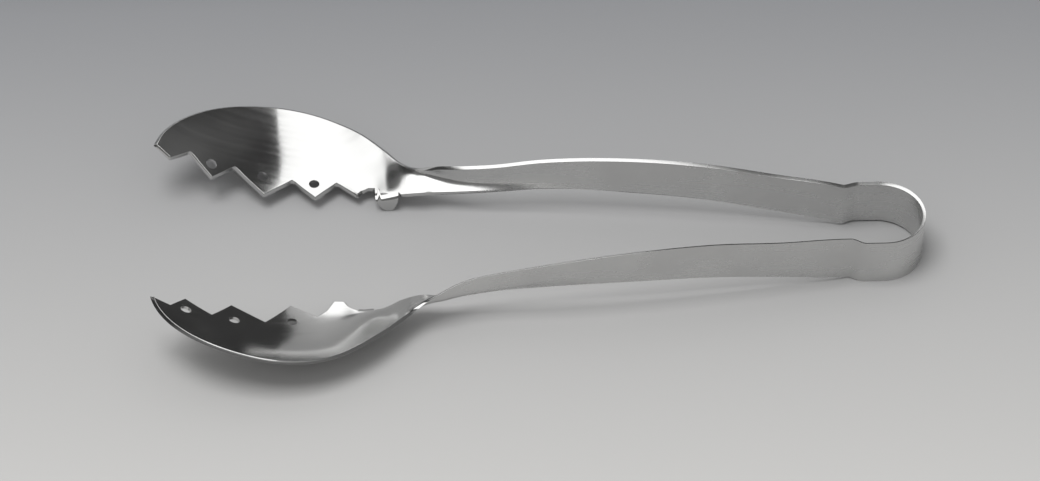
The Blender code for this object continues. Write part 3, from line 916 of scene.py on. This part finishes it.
# Table.
# A sheet of matt grey card. Its colour is painted shade: lighter towards the camera and darker towards its
# far end.
# This stands in for the light falling off across the table, and for the dim far table that the steel
# mirrors.
# It gives the even grey ground, and takes the soft shadows.
TABLE_SIZE = 6.0
GRADE_START = -0.17
GRADE_END = 0.50
card, tree, card_shader = new_material("Grey card with painted shade")
place = add_node(tree, "ShaderNodeTexCoord")
axes = add_node(tree, "ShaderNodeSeparateXYZ", {"Vector": place.outputs["Object"]})
painted_shade = add_node(
    tree, "ShaderNodeMapRange", {"Value": axes.outputs["Y"]},
    values={"From Min": GRADE_START, "From Max": GRADE_END, "To Min": 0.0, "To Max": 1.0},
)
# Painted shade: the ramp runs from light grey near the camera to near black at the card's far end.
ramp = add_node(tree, "ShaderNodeValToRGB", {"Fac": painted_shade.outputs["Result"]})
ramp.color_ramp.elements[0].color = linear("A6A5A3")
ramp.color_ramp.elements[1].color = linear("2C2D2E")
for grade, colour in ((0.43, "6F7072"), (0.56, "3C3D3E")):
    ramp.color_ramp.elements.new(grade).color = linear(colour)
tree.links.new(ramp.outputs["Color"], card_shader.inputs["Base Color"])
card_shader.inputs["Roughness"].default_value = 0.9
card_shader.inputs["Specular IOR Level"].default_value = 0.1
bpy.ops.mesh.primitive_plane_add(size=TABLE_SIZE, location=(0, 0, 0))
floor = bpy.context.object
floor.name = "table_card"
floor.data.materials.append(card)

# Backdrop board.
# A matt grey board that stands behind the tongs. The near head mirrors it. It shows in mirrors only, so that
# it stands in the way of no view.
BOARD_WIDTH = 1.84
BOARD_HEIGHT = 0.84
BOARD_PLACE = (-0.88, 0.9, 0.42)
board_paint, _, board_shader = new_material("Grey backdrop board")
board_shader.inputs["Base Color"].default_value = linear("B4B4B4")
board_shader.inputs["Roughness"].default_value = 0.8
bpy.ops.mesh.primitive_plane_add(size=1.0, location=BOARD_PLACE, rotation=(math.radians(90), 0, 0))
board = bpy.context.object
board.name = "backdrop_board"
board.scale = (BOARD_WIDTH, BOARD_HEIGHT, 1)
board.visible_camera = False
board.data.materials.append(board_paint)


# Lights and room.
# A wide softbox hangs over the table and is the white that the steel mirrors, and a key light far above the
# heads throws the soft shadows. In the steel the room is dim, with a glow beyond the bow and a paler ceiling
# over the camera.
ROOM_LIGHT = 0.95
BOW_GLOW = (0.05, 0.17)
CEILING_GLOW = (0.19, 0.6)


def softbox(name, centre, width, depth, power):
    """A rectangular area light that faces straight down."""
    light = bpy.data.lights.new(name, "AREA")
    light.shape = "RECTANGLE"
    light.size = width
    light.size_y = depth
    light.energy = power
    lamp = bpy.data.objects.new(name, light)
    lamp.location = centre
    lamp.rotation_euler = Vector((0, 0, -1)).to_track_quat("-Z", "Y").to_euler()
    bpy.context.scene.collection.objects.link(lamp)
    return lamp


wide = softbox("wide_softbox", centre=(-0.175, 0.137, 0.8), width=0.604, depth=1.64, power=5.7)
wide.visible_diffuse = False
key = softbox("key_softbox", centre=(-0.65, -0.18, 2.4), width=1.35, depth=1.35, power=64.5)
key.visible_glossy = False

world = bpy.data.worlds.new("Dim studio")
bpy.context.scene.world = world
world.use_nodes = True
tree = world.node_tree
backdrop = tree.nodes["Background"]
way = add_node(tree, "ShaderNodeTexCoord")
ways = add_node(tree, "ShaderNodeSeparateXYZ", {"Vector": way.outputs["Generated"]})


def fade(axis, start, end, low, high):
    """A level that runs smoothly from low to high as the way along an axis goes from start to end."""
    node = add_node(
        tree, "ShaderNodeMapRange", {"Value": ways.outputs[axis]}, {"interpolation_type": "SMOOTHSTEP"},
        {"From Min": start, "From Max": end, "To Min": low, "To Max": high},
    )
    return node.outputs["Result"]


glow = fade("X", 0.4, 0.75, *BOW_GLOW)
front = fade("Y", -0.1, -0.6, 0.0, 1.0)
ceiling = fade("Z", 0.55, 0.85, *CEILING_GLOW)
room = add_node(tree, "ShaderNodeMath", {0: front, 1: ceiling}, {"operation": "MULTIPLY"})
brighter = add_node(tree, "ShaderNodeMath", {0: glow, 1: room.outputs["Value"]}, {"operation": "MAXIMUM"})
ray = add_node(tree, "ShaderNodeLightPath")
strength = add_node(
    tree, "ShaderNodeMix",
    {"Factor": ray.outputs["Is Glossy Ray"], "B": brighter.outputs["Value"]}, values={"A": ROOM_LIGHT},
)
tree.links.new(strength.outputs["Result"], backdrop.inputs["Strength"])
backdrop.inputs["Color"].default_value = linear("FFFFFF")

# Camera.
# A long lens, 1.28 m from the tongs and 45 degrees above the table.
CAMERA_AZIMUTH = math.radians(-3.59)
CAMERA_ELEVATION = math.radians(45.41)
CAMERA_ROLL = math.radians(1.35)
CAMERA_DISTANCE = 1.28498
CAMERA_LENS = 140.955
SENSOR_WIDTH = 36.0
AIM_X = 11.4955
AIM_LEFT = 17.86
AIM_UP = 4.96
back = Vector((
    math.sin(CAMERA_AZIMUTH) * math.cos(CAMERA_ELEVATION),
    -math.cos(CAMERA_AZIMUTH) * math.cos(CAMERA_ELEVATION),
    math.sin(CAMERA_ELEVATION),
))
level = Vector((math.cos(CAMERA_AZIMUTH), math.sin(CAMERA_AZIMUTH), 0))
upright = back.cross(level)
right = level * math.cos(CAMERA_ROLL) + upright * math.sin(CAMERA_ROLL)
up = upright * math.cos(CAMERA_ROLL) - level * math.sin(CAMERA_ROLL)
target = Vector((AIM_X * MM, 0, 0)) - right * AIM_LEFT * MM + up * AIM_UP * MM
camera_data = bpy.data.cameras.new("camera")
camera_data.lens = CAMERA_LENS
camera_data.sensor_width = SENSOR_WIDTH
camera = bpy.data.objects.new("camera", camera_data)
turned = Matrix((right, up, back)).transposed().to_4x4()
camera.matrix_world = Matrix.Translation(target + back * CAMERA_DISTANCE) @ turned
bpy.context.scene.collection.objects.link(camera)
bpy.context.scene.camera = camera
bpy.context.scene.view_settings.view_transform = "Standard"
